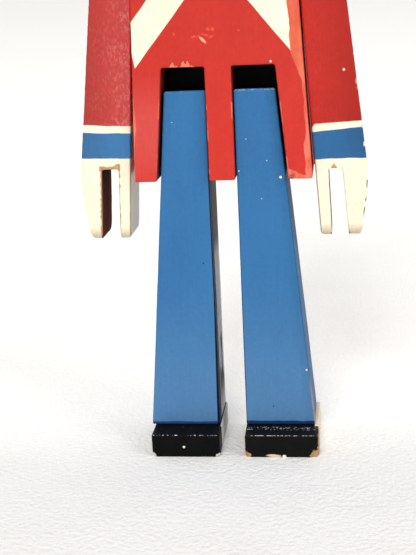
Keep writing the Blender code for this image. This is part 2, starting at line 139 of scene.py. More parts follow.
# Pink of the painted sheen on the sleeve and the coat
SHEEN_PINK = (234, 140, 138)
BLUE = (50, 116, 169)
BLUE_DARK = (44, 106, 158)
LEG_BLUE = (61, 120, 172)
LEG_BLUE_DARK = (55, 110, 162)
BLUE_SHEEN_LOW = (86, 131, 176)
BLUE_PALE = (170, 190, 205)
CUFF_BLUE = (47, 96, 140)
NAVY = (26, 56, 104)
ANKLE_SHADE_BLUE = (40, 74, 128)
NAVY_DEEP = (14, 26, 52)
PRIMER = (240, 238, 234)
PRIMER_CLEAN = (253, 252, 250)
PRIMER_GREY = (158, 150, 146)
PRIMER_BROWN = (132, 122, 116)
PAINTED_SHADE_GREY = (84, 79, 78)
BLACK = (11, 11, 12)
BLACK_WORN = (22, 22, 23)
SHADE_BLACK = (1, 1, 1)
SHOE_BLACK = (14, 14, 15)
SHOE_BLACK_WORN = (23, 23, 24)
GLINT = (228, 224, 220)
WOOD_LIGHT = (220, 178, 132)
WOOD_DARK = (176, 126, 82)
WOOD_DEEP = (64, 24, 20)
WOOD_BROWN = (128, 58, 46)
WOOD_SHADE = (44, 16, 13)
DOWEL_LIGHT = (226, 190, 140)
DOWEL_DARK = (188, 142, 92)
DOWEL_SHADE = (30, 20, 17)
CHIP_BROWN = (84, 52, 36)
CHIP_PINK = (238, 176, 152)
SHOE_WOOD_LIGHT = (208, 172, 128)
SHOE_WOOD_DARK = (150, 112, 76)
PALE_WOOD = (248, 240, 226)
PALE_WOOD_DARK = (228, 208, 178)
SHOE_CHIP = (176, 162, 150)
SHOE_CHIP_PALE = (232, 214, 184)
STEEL_LIGHT = (178, 178, 180)
STEEL_DARK = (142, 142, 146)
SKIN = (247, 214, 180)
SKIN_DARK = (240, 200, 164)
CHEEK = (232, 128, 104)
NOSE = (236, 150, 120)
EYE_WHITE = (250, 248, 240)
EYE_DARK = (36, 30, 34)
LIPS = (178, 52, 46)
HAIR = (70, 44, 30)
FELT = (252, 251, 248)
FELT_SHADE = (238, 236, 233)


def linear(rgb):
    """Scene-linear colour of an sRGB triple."""
    out = []
    for value in rgb:
        share = value / 255.0
        out.append(share / 12.92 if share <= 0.04045 else ((share + 0.055) / 1.055) ** 2.4)
    return (out[0], out[1], out[2], 1.0)


class Paint:
    """One procedural material, with short calls for the maths of its masks. Lengths are in millimetres."""

    def __init__(self, name):
        self.mat = bpy.data.materials.new(name)
        self.mat.use_nodes = True
        self.tree = self.mat.node_tree
        self.shader = self.tree.nodes["Principled BSDF"]
        coords = self.add("ShaderNodeTexCoord")
        scale = self.add("ShaderNodeVectorMath")
        scale.operation = "SCALE"
        self.tree.links.new(coords.outputs["Object"], scale.inputs[0])
        scale.inputs["Scale"].default_value = 1.0 / MM
        self.at = scale.outputs[0]
        parts = self.add("ShaderNodeSeparateXYZ")
        self.tree.links.new(self.at, parts.inputs[0])
        self.x, self.y, self.z = parts.outputs

    def add(self, kind):
        return self.tree.nodes.new(kind)

    def put(self, value, socket):
        """Link a socket, or set a number or an sRGB triple."""
        if isinstance(value, bpy.types.NodeSocket):
            self.tree.links.new(value, socket)
        elif isinstance(value, tuple):
            socket.default_value = linear(value)
        else:
            socket.default_value = value

    def math(self, operation, *values):
        node = self.add("ShaderNodeMath")
        node.operation = operation
        for value, socket in zip(values, node.inputs):
            self.put(value, socket)
        return node.outputs[0]

    def plus(self, a, b):
        return self.math("ADD", a, b)

    def minus(self, a, b):
        return self.math("SUBTRACT", a, b)

    def times(self, a, b):
        return self.math("MULTIPLY", a, b)

    def most(self, a, b):
        return self.math("MAXIMUM", a, b)

    def size(self, value):
        return self.math("ABSOLUTE", value)

    def length(self, a, b):
        """Length of the hypotenuse."""
        return self.math("SQRT", self.plus(self.times(a, a), self.times(b, b)))

    def both(self, *masks):
        out = masks[0]
        for mask in masks[1:]:
            out = self.times(out, mask)
        return out

    def either(self, *masks):
        out = masks[0]
        for mask in masks[1:]:
            out = self.most(out, mask)
        return out

    def invert(self, mask):
        return self.minus(1.0, mask)

    def above(self, value, edge, soft):
        """1 where value is over edge, with a soft step."""
        node = self.add("ShaderNodeMapRange")
        node.interpolation_type = "SMOOTHSTEP"
        self.put(self.minus(value, edge), node.inputs["Value"])
        node.inputs["From Min"].default_value = -soft
        node.inputs["From Max"].default_value = soft
        return node.outputs[0]

    def below(self, value, edge, soft):
        return self.invert(self.above(value, edge, soft))

    def within(self, value, low, high, soft):
        return self.both(self.above(value, low, soft), self.below(value, high, soft))

    def ramp(self, value, low, high):
        """0 at low and 1 at high, even in between."""
        node = self.add("ShaderNodeMapRange")
        self.put(value, node.inputs["Value"])
        node.inputs["From Min"].default_value = low
        node.inputs["From Max"].default_value = high
        return node.outputs[0]

    def noise(self, scale, detail=3.0, stretch=(1.0, 1.0, 1.0), rough=0.5):
        """Noise between about -1 and 1, scale in cycles per millimetre."""
        place = self.add("ShaderNodeMapping")
        place.inputs["Scale"].default_value = stretch
        self.tree.links.new(self.at, place.inputs["Vector"])
        node = self.add("ShaderNodeTexNoise")
        self.tree.links.new(place.outputs[0], node.inputs["Vector"])
        node.inputs["Scale"].default_value = scale
        node.inputs["Detail"].default_value = detail
        node.inputs["Roughness"].default_value = rough
        return self.times(self.minus(node.outputs["Fac"], NOISE_MIDDLE), NOISE_GAIN)

    def wobble(self, scale, detail, reach):
        """Noise of a given reach, to make a line ragged."""
        return self.times(self.noise(scale, detail), reach)

    def flecks(self, scale, level):
        """Rare small specks, the rarer the higher the level."""
        return self.above(self.noise(scale, 1.0), level, 0.03)

    def mix(self, mask, a, b):
        node = self.add("ShaderNodeMix")
        node.data_type = "RGBA"
        self.put(mask, node.inputs["Factor"])
        self.put(a, node.inputs["A"])
        self.put(b, node.inputs["B"])
        return node.outputs["Result"]

    def tone(self, a, b, grain, spread=0.5, middle=0.5):
        """Colour that wanders between a and b with a noise."""
        return self.mix(self.math("MULTIPLY_ADD", grain, spread, middle), a, b)

    def lit(self, colour, value):
        """Colour made lighter or darker."""
        node = self.add("ShaderNodeHueSaturation")
        self.put(value, node.inputs["Value"])
        self.put(colour, node.inputs["Color"])
        return node.outputs[0]

    def blend(self, mask, a, b):
        """Plain number between a and b."""
        node = self.add("ShaderNodeMix")
        self.put(mask, node.inputs["Factor"])
        self.put(a, node.inputs["A"])
        self.put(b, node.inputs["B"])
        return node.outputs["Result"]

    def spot(self, place, radius, soft, ragged=0.0):
        """Round patch about a point, ragged or plain."""
        total = None
        for axis, centre in zip((self.x, self.y, self.z), place):
            off = self.minus(axis, centre)
            square = self.times(off, off)
            total = square if total is None else self.plus(total, square)
        reach = self.math("SQRT", total)
        if ragged:
            reach = self.plus(reach, self.wobble(0.55, 3.0, ragged))
        return self.below(reach, radius, soft)

    def dust(self, specks):
        """Small round specks, each a place and a radius."""
        return self.either(*[self.spot(place, radius, 0.12) for place, radius in specks])

    def dash(self, x, z, half_long, half_wide, lean, soft=0.3, ragged=0.25):
        """Ragged long patch on a broad face, leaning by an angle in degrees."""
        cos = math.cos(math.radians(lean))
        sin = math.sin(math.radians(lean))
        off_x = self.minus(self.x, x)
        off_z = self.minus(self.z, z)
        u = self.plus(self.times(off_x, cos / half_long), self.times(off_z, sin / half_long))
        v = self.plus(self.times(off_x, -sin / half_wide), self.times(off_z, cos / half_wide))
        return self.below(self.plus(self.length(u, v), self.wobble(0.9, 3.0, ragged)), 1.0, soft)

    def peak(self, x, z, half_wide, height):
        """Ragged torn peak that stands on a level edge."""
        fall = self.times(self.size(self.minus(self.x, x)), height / half_wide)
        top = self.plus(self.minus(z + height, fall), self.wobble(1.1, 3.0, 0.8))
        return self.both(self.below(self.z, top, BRUSHED), self.above(self.z, z - 1.0, BRUSHED))

    def edges(self, radius, turns):
        """Mask of the outer edges and corners, from the difference of the rounded and the plain normal."""
        round_node = self.add("ShaderNodeBevel")
        round_node.samples = EDGE_SAMPLES
        round_node.inputs["Radius"].default_value = radius * MM
        plain = self.add("ShaderNodeNewGeometry")
        dot = self.add("ShaderNodeVectorMath")
        dot.operation = "DOT_PRODUCT"
        self.tree.links.new(round_node.outputs[0], dot.inputs[0])
        self.tree.links.new(plain.outputs["Normal"], dot.inputs[1])
        node = self.add("ShaderNodeMapRange")
        node.interpolation_type = "SMOOTHSTEP"
        self.put(self.minus(1.0, dot.outputs["Value"]), node.inputs["Value"])
        node.inputs["From Min"].default_value, node.inputs["From Max"].default_value = turns
        return node.outputs[0]

    def rubbed(self, radius, turns, scale, level, soft=0.1):
        """Bare stretches along the edges, where a noise passes a level."""
        return self.both(self.edges(radius, turns), self.above(self.noise(scale, 4.0), level, soft))

    def wood(self, light=WOOD_LIGHT, dark=WOOD_DARK):
        """Bare wood with grain along the height."""
        return self.tone(light, dark, self.noise(0.9, 5.0, (1.0, 1.0, 0.07), 0.6))

    def coat(self, colour, bare, under, rough, gloss=0.0, stroke=0.35, thick=0.10, sheen=0.18):
        """Finish: paint over bare wood. bare is the mask of what has worn off, under the colour below."""
        strokes = self.noise(1.5, 4.0, (1.0, 1.0, 0.05), 0.55)
        cloud = self.noise(0.06, 3.0)
        fine = self.noise(2.6, 3.0)
        blotch = self.noise(0.6, 2.0)
        shade = self.plus(self.times(strokes, STROKE_TONE), self.times(cloud, CLOUD_TONE))
        shade = self.plus(shade, self.times(blotch, BLOTCH_TONE))
        top = self.lit(colour, self.plus(1.0, shade))
        self.put(self.mix(bare, top, under), self.shader.inputs["Base Color"])
        shine = self.plus(self.times(cloud, CLOUD_ROUGH), self.times(fine, FINE_ROUGH))
        self.put(self.blend(bare, self.plus(rough, shine), 1.0), self.shader.inputs["Roughness"])
        self.shader.inputs["Specular IOR Level"].default_value = sheen
        if gloss:
            self.put(self.times(self.invert(bare), gloss), self.shader.inputs["Coat Weight"])
            self.shader.inputs["Coat Roughness"].default_value = GLOSS_ROUGH
        height = self.plus(self.times(strokes, stroke), self.times(fine, FINE_RELIEF))
        height = self.minus(height, self.times(bare, BARE_RELIEF))
        self.bump(height, RELIEF, thick)
        return self.mat

    def bump(self, height, strength, distance):
        node = self.add("ShaderNodeBump")
        node.inputs["Strength"].default_value = strength
        node.inputs["Distance"].default_value = distance * MM
        self.put(height, node.inputs["Height"])
        self.put(node.outputs[0], self.shader.inputs["Normal"])


# Coat: lighter low down, and a painted pink sheen on the figure's right
COAT_LIGHT_Z, COAT_LIGHT_SOFT, COAT_LIGHT_GAIN = 142.0, 22.0, 0.09
PINK_X, PINK_X_SOFT = -19.0, 7.0
PINK_LOW_Z, PINK_HIGH_Z, PINK_Z_SOFT = 114.0, 142.0, 12.0
SHEEN_PATCH_SHARE = 0.16

# Cross-belts: they stop short of the coat's sides, by more low down
BELT_RAGGED, BELT_SOFT = 0.30, 0.22
BELT_MARGIN, BELT_END_MARGIN = 0.1, 1.3
BELT_END_Z, BELT_END_SOFT = 155.0, 4.5

# Undercoat down the left front edge: its width, and what is added over the hip and near the hem
UNDERCOAT_W, UNDERCOAT_RAGGED = 1.05, 0.55
UNDERCOAT_HIP_Z, UNDERCOAT_HIP_SOFT, UNDERCOAT_HIP_W = 150.5, 6.5, 3.1
UNDERCOAT_HEM_Z, UNDERCOAT_HEM_SOFT, UNDERCOAT_HEM_W = 124.0, 2.0, 1.2
UNDERCOAT_TOP_Z, UNDERCOAT_TOP_SOFT = 205.0, 9.0

# Thin worn line down the right front edge, wider between two heights
THIN_W, THIN_WIDER_W, THIN_SOFT = 0.35, 0.6, 0.15
THIN_LOW_Z, THIN_HIGH_Z, THIN_TOP_Z, THIN_Z_SOFT = 126.0, 137.0, 142.0, 3.0

# Worn hem of the left skirt, which slopes up to the slot, and the worn lips of both slots
HEM_H = 1.5
HEM_IN_X, HEM_IN_SOFT = 20.0, 0.5
HEM_TIP_X = 30.5
HEM_SLOPE = 0.45
HEM_NOTCH_Z = 118.2
LIP_W, LIP_SOFT, LIP_LEVEL = 0.45, 0.15, 0.12

# Slots: how far their colours reach past the walls and begin behind the front, and where their painted shade
# turns black
SLOT_REACH = 0.5
SLOT_FRONT, SLOT_FRONT_SOFT, SLOT_BACK = 0.8, 0.25, 0.6
SLOT_DARK_Y, SLOT_DARK_SOFT = 12.0, 9.0
SLOT_TOP_WALL = 0.6

# Wear of the coat's front: torn peaks over the right slot (place, half width, height), scuffs and faint marks
# on the belly (place, half length, half width, lean), and a bare corner of the hem
COAT_PEAKS = ((-16.6, 1.2, 2.3), (-15.2, 0.8, 0.9), (-12.5, 1.4, 2.6), (-10.9, 1.2, 2.3), (-9.5, 0.8, 0.8))
COAT_SCUFFS = ((-4.9, 161.6, 1.6, 0.5, -45.0),)
COAT_MARKS = (
    (-2.8, 165.2, 0.7, 0.6, 0.0),
    (-1.1, 165.4, 0.6, 0.6, 0.0),
    (-7.9, 162.8, 0.9, 0.4, 0.0),
    (-1.6, 162.7, 0.8, 0.4, 30.0),
    (-4.0, 163.4, 1.5, 0.3, -15.0),
    (-6.4, 163.0, 0.6, 0.4, 20.0),
    (-15.3, 164.1, 0.4, 0.6, 0.0),
    (8.3, 164.5, 0.5, 0.35, 0.0),
)
COAT_BARE = (26.4, FRONT_Y, SKIRT_Z + HEM_H)

# White specks of dust and paint, and dark specks: place and radius
COAT_DUST = (((19.5, FRONT_Y, 153.1), 0.36),)
ARM_DUST = (((45.8, ARM_LOW.y, 148.8), 0.42),)
LEG_DUST = (
    ((21.8, LEG_LOW.y, 110.0), 0.5),
    ((29.8, LEG_LOW.y, 33.0), 0.38),
    ((16.8, LEG_LOW.y, 116.4), 0.17),
    ((14.4, LEG_LOW.y, 101.9), 0.14),
    ((6.2, LEG_LOW.y, 112.7), 0.24),
    ((9.3, LEG_LOW.y, 124.7), 0.15),
    ((-18.2, LEG_LOW.y, 131.7), 0.13),
)
LEG_SPECKS = (((-9.0, LEG_LOW.y, 77.0), 0.26), ((16.4, LEG_LOW.y, 17.7), 0.26))
SHOE_DUST = (((-19.0, SHOE_LOW.y, 4.4), 0.48), ((20.7, SHOE_LOW.y, 0.4), 0.8))


def coat_side(p, waist_x, skirt_x):
    """Half width of one side of the coat at a height."""
    upper = p.times(p.ramp(p.z, CHEST_Z, WAIST_Z), waist_x - CHEST_X)
    lower = p.times(p.ramp(p.z, WAIST_Z, SKIRT_Z), skirt_x - waist_x)
    return p.plus(CHEST_X, p.plus(upper, lower))


def coat_paint(name, outside, slotted):
    """Coat red with white cross-belts on one broad face. outside is the mask of that face, as a call."""
    p = Paint(name)
    red = p.tone(RED, RED_DARK, p.noise(0.05, 4.0))
    low = p.below(p.z, COAT_LIGHT_Z, COAT_LIGHT_SOFT)
    red = p.lit(red, p.plus(1.0, p.times(low, COAT_LIGHT_GAIN)))
    # Painted sheen: a pink wash low on the figure's right
    sheen_patch = p.both(p.below(p.x, PINK_X, PINK_X_SOFT), p.within(p.z, PINK_LOW_Z, PINK_HIGH_Z, PINK_Z_SOFT))
    red = p.mix(p.times(sheen_patch, SHEEN_PATCH_SHARE), red, SHEEN_PINK)
    front = outside(p)
    from_left = p.minus(coat_side(p, LEFT_WAIST_X, TORSO_HIGH.x), p.x)
    from_right = p.plus(coat_side(p, RIGHT_WAIST_X, -TORSO_LOW.x), p.x)

    # White cross-belts with brushed edges
    rise = p.minus(p.z, BELT_CROSS_Z)
    lean = p.times(p.x, BELT_SLOPE)
    reach = p.plus(BELT_HALF_H, p.wobble(0.10, 2.0, BELT_RAGGED))
    belt = p.either(
        p.below(p.size(p.minus(rise, lean)), reach, BELT_SOFT),
        p.below(p.size(p.plus(rise, lean)), reach, BELT_SOFT),
    )
    margin = p.plus(BELT_MARGIN, p.times(p.below(p.z, BELT_END_Z, BELT_END_SOFT), BELT_END_MARGIN))
    belt = p.both(belt, front, p.above(from_left, margin, BRUSHED), p.above(from_right, margin, BRUSHED))
    cream = p.tone(CREAM, CREAM_SHADE, p.noise(0.10, 4.0), middle=0.25)
    colour = p.mix(belt, red, cream)

    # Undercoat that shows down the front edges, at the hem and along the slots
    hip = p.above(p.z, UNDERCOAT_HIP_Z, UNDERCOAT_HIP_SOFT)
    near_hem = p.below(p.z, UNDERCOAT_HEM_Z, UNDERCOAT_HEM_SOFT)
    width = p.plus(p.times(hip, UNDERCOAT_HIP_W), p.times(near_hem, UNDERCOAT_HEM_W))
    width = p.plus(p.plus(UNDERCOAT_W, width), p.wobble(0.17, 4.0, UNDERCOAT_RAGGED))
    upto = p.below(p.z, UNDERCOAT_TOP_Z, UNDERCOAT_TOP_SOFT)
    strip = p.both(p.below(from_left, width, BRUSHED), front, upto)
    ragged = p.wobble(0.28, 3.0, 0.7)
    wider = p.times(p.within(p.z, THIN_LOW_Z, THIN_HIGH_Z, THIN_Z_SOFT), THIN_WIDER_W)
    thin_w = p.plus(p.plus(THIN_W, wider), p.times(ragged, 0.5))
    thin = p.both(p.below(from_right, thin_w, THIN_SOFT), front, p.below(p.z, THIN_TOP_Z, THIN_Z_SOFT))
    hem_rise = p.times(p.most(p.minus(HEM_TIP_X, p.x), 0.0), HEM_SLOPE)
    hem_z = p.plus(p.plus(SKIRT_Z + HEM_H, hem_rise), p.times(ragged, 0.5))
    hem = p.both(p.below(p.z, hem_z, BRUSHED), p.above(p.x, HEM_IN_X, HEM_IN_SOFT), front)
    across = p.size(p.x)
    out = p.plus(LEG_TOP_OUT + SLOT_OUT_GAP, p.times(p.minus(LEG_HIGH.z, p.z), LEG_FLARE))
    outer_lip = p.within(p.minus(across, out), 0.0, LIP_W, LIP_SOFT)
    lips = p.both(
        p.either(p.within(across, STRIP_HALF_W - LIP_W, STRIP_HALF_W, LIP_SOFT), outer_lip),
        p.below(p.z, SLOT_TOP_Z + SLOT_REACH, BRUSHED),
        p.above(p.noise(0.14, 4.0), LIP_LEVEL, LIP_SOFT),
        front,
    )
    notch = p.both(outer_lip, p.above(p.x, 0.0, 1.0), p.within(p.z, SKIRT_Z, HEM_NOTCH_Z, WORN), front)
    streaks = p.above(p.noise(0.5, 4.0, (1.0, 1.0, 0.35)), 0.15, 0.5)
    worn = p.either(strip, thin, hem, lips, notch) if slotted else thin
    salmon = p.mix(streaks, p.mix(hip, SALMON, SALMON_UP), SALMON_DEEP)
    colour = p.mix(worn, colour, salmon)

    # Painted shade in the slots: dark red walls that turn black behind the legs and on the top wall
    inside = p.both(
        p.above(across, STRIP_HALF_W - SLOT_REACH, CUT),
        p.below(across, p.plus(out, SLOT_REACH), CUT),
        p.below(p.z, SLOT_TOP_Z + SLOT_REACH, CUT),
        p.above(p.y, FRONT_Y + SLOT_FRONT, SLOT_FRONT_SOFT),
        p.below(p.y, BACK_LOW.y + SLOT_BACK, BRUSHED),
    )
    deep = p.above(p.y, FRONT_Y + SLOT_DARK_Y, SLOT_DARK_SOFT)
    top_wall = p.above(p.z, SLOT_TOP_Z - SLOT_TOP_WALL, BRUSHED)
    colour = p.mix(inside, colour, p.mix(p.either(deep, top_wall), RED_IN_SHADE, SHADE_BLACK))

    # Chips over the slots, scuffs on the belly, a bare corner at the hem and rubbed edges
    if slotted:
        chips = p.either(*[p.peak(x, SLOT_TOP_Z, half, height) for x, half, height in COAT_PEAKS])
        scuff = p.either(*[p.dash(*mark) for mark in COAT_SCUFFS])
        marks = p.either(*[p.dash(*mark, soft=0.5, ragged=0.7) for mark in COAT_MARKS])
        colour = p.mix(p.both(marks, front), colour, SALMON_FAINT)
        colour = p.mix(p.both(chips, front), colour, SALMON_PALE)
        colour = p.mix(p.both(scuff, front), colour, SCUFF_PALE)
        colour = p.mix(p.dust(COAT_DUST), colour, CREAM)
    colour = p.mix(p.both(p.flecks(0.32, 0.98), front), colour, SALMON)
    rubbed = p.both(p.rubbed(0.7, RUBS_EASILY, 0.12, 0.5, 0.12), p.invert(inside))
    corner = p.both(p.spot(COAT_BARE, 1.3, 0.6, 1.3), front)
    under = p.mix(corner, SALMON_PALE, p.wood(HEM_TAN, WOOD_BROWN))
    return p.coat(colour, p.either(corner, rubbed), under, 0.55)


# Sleeve: its band's rounded end, painted light that makes the side near the coat lighter and the far side
# darker, and a mottled painted pink sheen that is stronger near the coat
BAND_END_W = 1.7
SLEEVE_W, SLEEVE_LIT_MOST, SLEEVE_SHADE_FALL = 19.0, 1.18, 0.36
SHEEN_REACH, SHEEN_SOFT = 6.5, 9.0
SHEEN_LEAST, SHEEN_NEAR, SHEEN_EVEN = 0.2, 0.9, 0.15

# Hand: painted shade on the fingertips and on the side next to the coat, and scratches
TIP_SHADE_H, TIP_SHADE_SOFT, TIP_SHADE_SHARE = 4.0, 2.0, 0.85
HAND_EDGE_W = 0.4
SCRATCH_SHARE = 0.7

# Grip slot: how far the bare walls, the torn mouth and the tear over its end reach
GRIP_REACH, GRIP_DEPTH = 0.5, 0.9
MOUTH_IN, MOUTH_OUT, MOUTH_H = 0.45, 0.3, 0.8
TEAR_LOW, TEAR_OVER, TEAR_DEPTH = 0.6, 0.8, 1.2
TEAR_SLANT_X, TEAR_SLANT_SOFT, TEAR_SLANT_H = 1.2, 0.9, 0.7
NOTCH_HALF_W, NOTCH_H = 1.2, 2.0
# Painted shade towards the top of the grip slot's walls: its reach below the top, its softness and its share
GRIP_SHADE_H, GRIP_SHADE_SOFT, GRIP_SHADE_SHARE = 5.0, 7.0, 0.9
CHIP_DEPTH = 1.6
FAR_OUT = 2.0


def sleeve_paint(name, look):
    """Arm: red sleeve, white band, blue cuff and cream hand with a bare grip slot."""
    p = Paint(name)
    hand = look["hand"]
    out = p.times(p.x, look["side"])
    over_tip = p.minus(p.z, HAND_TIP_Z)

    def past(edge):
        """Distance outwards from one of the hand's edges."""
        tip_x, lean = hand[edge]
        return p.minus(out, p.minus(tip_x, p.times(over_tip, lean)))

    wave = p.wobble(0.13, 3.0, 0.30)
    over = []
    for height, tilt in look["cuff"]:
        line = p.plus(height, p.times(p.minus(out, CUFF_MID_X), tilt))
        over.append(p.minus(p.plus(p.z, wave), line))
    over_band, over_cuff, over_hand = over
    past_edge = past("edge")
    round_end = p.ramp(past_edge, BAND_END_W, 0.0)
    over_band = p.plus(over_band, p.times(p.times(round_end, round_end), look["round"]))
    on_sleeve = p.above(over_band, 0.0, BRUSHED)

    # Painted light: sleeve and cuff lighter near the coat, darker away from it
    painted_light = p.minus(SLEEVE_LIT_MOST, p.times(p.ramp(past_edge, 0.0, SLEEVE_W), SLEEVE_SHADE_FALL))
    red = p.tone(SLEEVE, SLEEVE_DARK, p.noise(0.05, 4.0))
    # Painted sheen: mottled pink highlights, stronger near the coat
    sheen_mottle = p.both(
        p.above(p.noise(1.5, 4.0, (1.0, 1.0, 0.55)), 0.2, 0.45),
        p.above(p.noise(0.18, 3.0), -0.1, 0.8),
    )
    near_coat = p.below(past_edge, SHEEN_REACH, SHEEN_SOFT)
    sheen_mottle = p.times(sheen_mottle, p.plus(SHEEN_LEAST, p.times(near_coat, SHEEN_NEAR)))
    painted_sheen = p.times(p.plus(sheen_mottle, p.times(near_coat, SHEEN_EVEN)), look["painted_sheen"])
    red = p.mix(painted_sheen, p.lit(red, painted_light), SHEEN_PINK)
    blue = p.lit(p.tone(look["blue"], BLUE_DARK, p.noise(0.08, 3.0)), painted_light)
    cream = p.tone(CREAM, CREAM_SHADE, p.noise(0.12, 4.0), middle=0.3)
    # Painted shade: darker rounded fingertips and a darker side next to the coat
    tip_shade = p.below(p.plus(p.z, p.times(wave, 2.0)), HAND_TIP_Z + TIP_SHADE_H, TIP_SHADE_SOFT)
    cream = p.mix(p.times(tip_shade, TIP_SHADE_SHARE), cream, CREAM_SHADE_AND_SCRATCH)
    cream = p.mix(p.below(past_edge, HAND_EDGE_W, 0.15), cream, CREAM_SHADED_SIDE)
    colour = p.mix(p.below(over_band, 0.0, BRUSHED), red, CREAM)
    colour = p.mix(p.below(over_cuff, 0.0, BRUSHED), colour, blue)
    colour = p.mix(p.below(over_hand, 0.0, BRUSHED), colour, cream)
    for mark in look["scratch"]:
        colour = p.mix(p.times(p.dash(*mark), SCRATCH_SHARE), colour, CREAM_SHADE_AND_SCRATCH)
    colour = p.mix(p.both(p.flecks(0.3, 1.0), on_sleeve), colour, SALMON)
    colour = p.mix(p.dust(ARM_DUST), colour, CREAM)

    # Bare brown walls of the grip slot, with torn grain along its mouth and over its end
    past_in = past("slot_in")
    past_out = past("slot_out")
    slot_z = HAND_TIP_Z + hand["slot_l"]
    slot = p.both(
        p.above(past_in, -GRIP_REACH, CUT),
        p.below(past_out, GRIP_REACH, CUT),
        p.below(p.z, slot_z + GRIP_REACH, CUT),
        p.within(p.y, ARM_LOW.y + GRIP_DEPTH, ARM_HIGH.y - GRIP_DEPTH, WORN),
    )
    ragged = p.wobble(0.32, 4.0, 0.8)
    mouth = p.both(
        p.either(
            p.within(past_in, p.plus(-MOUTH_IN, ragged), MOUTH_OUT, BRUSHED),
            p.within(past_out, -MOUTH_OUT, p.plus(MOUTH_IN, ragged), BRUSHED),
        ),
        p.below(p.z, slot_z + MOUTH_H, WORN),
        p.above(p.noise(0.09, 3.0), 1.0 - look["mouth"], 0.15),
    )
    at_front = p.below(p.y, ARM_LOW.y + TEAR_DEPTH, BRUSHED)
    if look["tear"]:
        slant = p.times(p.below(past_in, TEAR_SLANT_X, TEAR_SLANT_SOFT), TEAR_SLANT_H)
        end = p.both(
            p.within(p.z, slot_z - TEAR_LOW, p.plus(slot_z + look["tear"], p.plus(slant, ragged)), BRUSHED),
            p.above(past_in, -TEAR_OVER, BRUSHED),
            p.below(past_out, TEAR_OVER, BRUSHED),
            at_front,
        )
    else:
        end = p.both(p.peak(look["notch_x"], slot_z, NOTCH_HALF_W, NOTCH_H), at_front)
    near_front = p.below(p.plus(p.y, p.times(ragged, 0.8)), ARM_LOW.y + CHIP_DEPTH, WORN)
    chips = []
    for x, z, half_long, half_wide in look["chips"]:
        chips.append(p.both(near_front, p.dash(look["side"] * x, z, half_long, half_wide, 90.0)))
    bare = p.either(slot, mouth, end, p.rubbed(0.6, RUBS_EASILY, 0.13, 0.62, 0.12), *chips)

    # What shows where the paint is gone: brown slot walls with painted shade towards their top, brown wood on
    # the hand, primer on cuff and sleeve
    shade = p.times(p.above(p.z, slot_z - GRIP_SHADE_H, GRIP_SHADE_SOFT), GRIP_SHADE_SHARE)
    wall = p.mix(shade, p.wood(WOOD_BROWN, WOOD_DEEP), WOOD_SHADE)
    far_out = p.above(past_out, FAR_OUT, WORN)
    under = p.mix(p.both(p.below(over_hand, 0.0, BRUSHED), far_out), p.wood(), CHIP_BROWN)
    primer = p.mix(on_sleeve, PRIMER, CHIP_PINK)
    under = p.mix(p.both(p.above(over_hand, 0.0, BRUSHED), far_out), under, primer)
    under = p.mix(slot, under, wall)
    return p.coat(colour, bare, under, look["rough"], gloss=look["gloss"], stroke=0.5, thick=0.14)


# Trousers: painted sheen low down, painted shade on top behind the front edge, and a painted shade line at
# the ankle
SHEEN_LOW_Z, SHEEN_LOW_SOFT, SHEEN_LOW_SHARE = 44.0, 32.0, 0.9
TOP_H, TOP_BEHIND, TOP_BEHIND_SOFT = 0.6, 1.7, 0.5
RIM_W = 0.45
BELOW_SKIRT_Z = 112.0

# Left leg: painted shade towards its outer edge and on its outer side, rubbed there near the ankle, dark at
# its inner front edge
OUTER_SHADE_W, OUTER_SHADE, SIDE_SHADE = 2.5, 0.13, 1.8
OUTER_W, OUTER_SOFT = 0.3, 0.15
OUTER_RUB_Z, OUTER_RUB_SOFT, OUTER_RUB_DEPTH = 26.0, 8.0, 5.0
INNER_LINE_W, INNER_LINE_SHARE = 0.35, 0.8

# Right leg's inner side: dark blue in front, then primer with painted shade high up and dark streaks low down
INNER_W = 0.3
INNER_WIDER_W, INNER_NARROW_Z, INNER_WIDE_Z = 0.7, 62.0, 13.0
PRIMER_Y, PRIMER_TOP_Z, PRIMER_TOP_SOFT = 7.0, 118.0, 3.0
SHADE_HIGH_Z, SHADE_HIGH_SOFT = 80.0, 5.0
STREAK_LOW_Z, STREAK_HIGH_Z, STREAK_Z_SOFT = 19.0, 52.0, 6.0
STREAK_NEAR_Y, STREAK_FAR_Y, STREAK_Y_SOFT = 8.0, 22.0, 1.5

# Height and colour of the ankle's painted shade line, and how much of the top edge has a painted glint
TROUSER_LOOKS = {
    "left": {"line_h": 1.70, "line": NAVY, "rim_level": 0.0, "rim_share": 0.7},
    "right": {"line_h": 1.40, "line": ANKLE_SHADE_BLUE, "rim_level": 0.2, "rim_share": 0.3},
}


